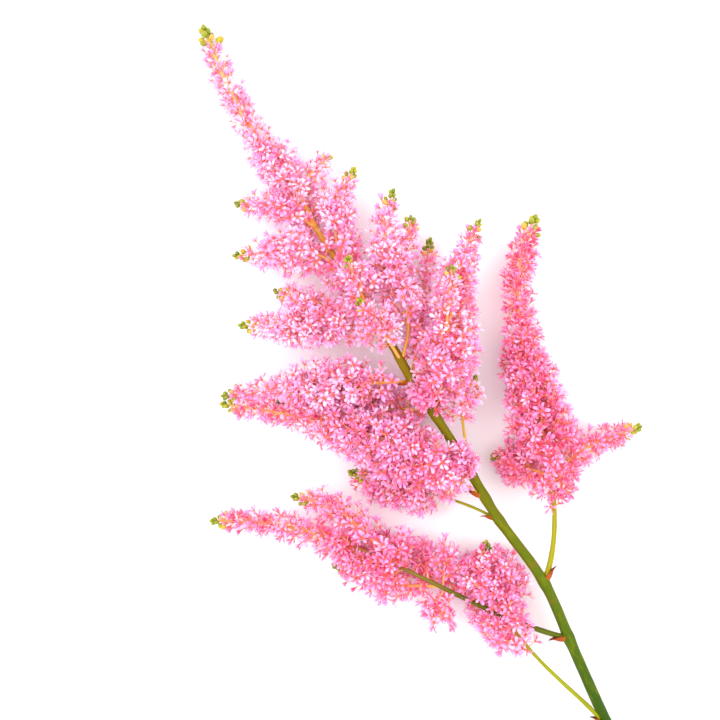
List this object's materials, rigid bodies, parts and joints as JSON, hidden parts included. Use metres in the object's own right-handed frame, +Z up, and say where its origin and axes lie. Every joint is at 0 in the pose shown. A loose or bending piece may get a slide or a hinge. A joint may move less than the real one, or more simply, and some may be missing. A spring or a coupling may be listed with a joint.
{
  "type": "astilbe flower stem",
  "caption": "Cut astilbe stem lying on its side: a green stem with olive side branches, brown bracts and feathery plumes of tiny pink flowers.",
  "frame": {"origin": "under the middle of the whole flower stem, on the surface it lies on", "axes": "+Y along the stem from its cut end to its tip, +X to the right seen from above, +Z up from the surface"},
  "size_m": [0.1524, 0.3282, 0.032],
  "materials": {
    "stem_green": "fresh green plant stem, faintly ribbed, semi-matte",
    "branch_olive": "thin yellow-green to peach flower stalks, semi-matte",
    "bract_brown": "dry red-brown papery scale leaf",
    "flower_pink": "soft matte pink petals with lilac highlights and coral centres",
    "bud_green": "small yellow-green flower buds at the tips, semi-matte"
  },
  "bodies": {
    "root": {"bract_low_left": "bract_brown", "bract_low_right": "bract_brown", "bract_lowest_left": "bract_brown", "bract_middle_left": "bract_brown", "bract_middle_left_short": "bract_brown", "bract_middle_right": "bract_brown", "bract_upper_left": "bract_brown", "branch_high_front": "branch_olive", "branch_high_left": "branch_olive", "branch_high_left_upper": "branch_olive", "branch_low_left": "branch_olive", "branch_low_left_lower": "branch_olive", "branch_low_left_upper": "branch_olive", "branch_low_right": "branch_olive", "branch_low_right_inner": "branch_olive", "branch_low_right_outer": "branch_olive", "branch_lowest_left": "branch_olive", "branch_middle_left": "branch_olive", "branch_middle_left_back": "branch_olive", "branch_middle_left_short": "branch_olive", "branch_middle_right": "branch_olive", "branch_middle_right_side": "branch_olive", "branch_middle_right_small": "branch_olive", "branch_tip_left": "branch_olive", "branch_tip_right": "branch_olive", "branch_top_left": "branch_olive", "branch_top_right": "branch_olive", "branch_upper_front": "branch_olive", "branch_upper_left": "branch_olive", "branch_upper_right": "branch_olive", "branch_upper_right_back": "branch_olive", "branch_upper_right_side": "branch_olive", "flowers_high_front": "flower_pink", "flowers_high_left": "flower_pink", "flowers_high_left_upper": "flower_pink", "flowers_low_left": "flower_pink", "flowers_low_left_lower": "flower_pink", "flowers_low_left_upper": "flower_pink", "flowers_low_right": "flower_pink", "flowers_low_right_inner": "flower_pink", "flowers_low_right_outer": "flower_pink", "flowers_lowest_left": "flower_pink", "flowers_middle_left": "flower_pink", "flowers_middle_left_back": "flower_pink", "flowers_middle_left_short": "flower_pink", "flowers_middle_right": "flower_pink", "flowers_middle_right_side": "flower_pink", "flowers_middle_right_small": "flower_pink", "flowers_tip_left": "flower_pink", "flowers_tip_right": "flower_pink", "flowers_top": "flower_pink", "flowers_top_left": "flower_pink", "flowers_top_right": "flower_pink", "flowers_upper_front": "flower_pink", "flowers_upper_left": "flower_pink", "flowers_upper_right": "flower_pink", "flowers_upper_right_back": "flower_pink", "flowers_upper_right_side": "flower_pink", "main_stem": "stem_green"}
  },
  "joints": []
}
